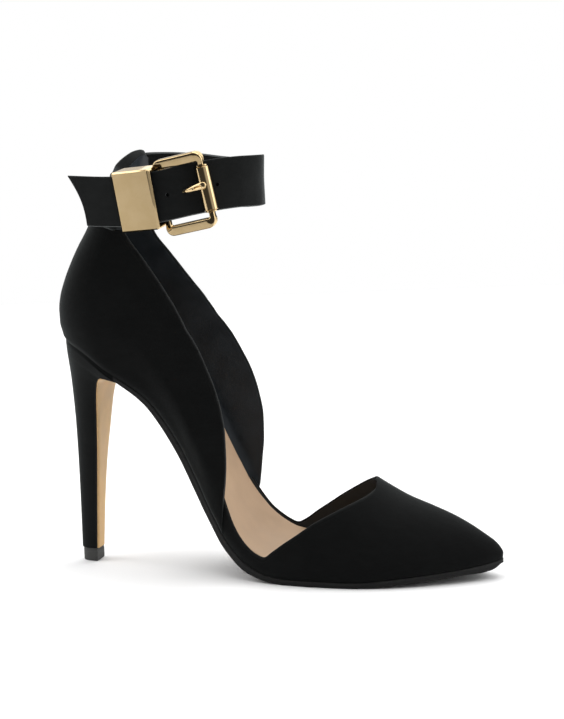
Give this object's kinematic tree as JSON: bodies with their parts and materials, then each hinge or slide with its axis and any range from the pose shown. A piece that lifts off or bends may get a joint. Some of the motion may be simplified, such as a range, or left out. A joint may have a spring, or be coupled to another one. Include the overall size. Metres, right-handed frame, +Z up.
{
  "type": "pointed toe high heel",
  "caption": "Pointed-toe stiletto shoe with cut-away sides, a slim covered heel and a wide buckled ankle strap held by a loop at the back tab.",
  "frame": {"origin": "centre of the shoe's box in X and Y, on the floor under its sole", "axes": "+X towards the toe, +Y towards the inner side of the foot, +Z up"},
  "size_m": [0.227, 0.0738, 0.2145],
  "materials": {
    "black_suede": "matt suede nap",
    "sole_leather": "black edge, satin",
    "tan_leather": "smooth, satin",
    "lift_rubber": "matt",
    "gold_metal": "polished pale gold"
  },
  "bodies": {
    "root": {"upper": "black_suede", "outsole": "sole_leather", "insole": "tan_leather", "heel": "black_suede", "heel_breast": "tan_leather", "top_lift": "lift_rubber", "ankle_strap": "black_suede", "strap_loop": "black_suede", "buckle_frame": "gold_metal", "buckle_roller": "gold_metal", "buckle_prong": "gold_metal", "keeper": "gold_metal"}
  },
  "joints": []
}
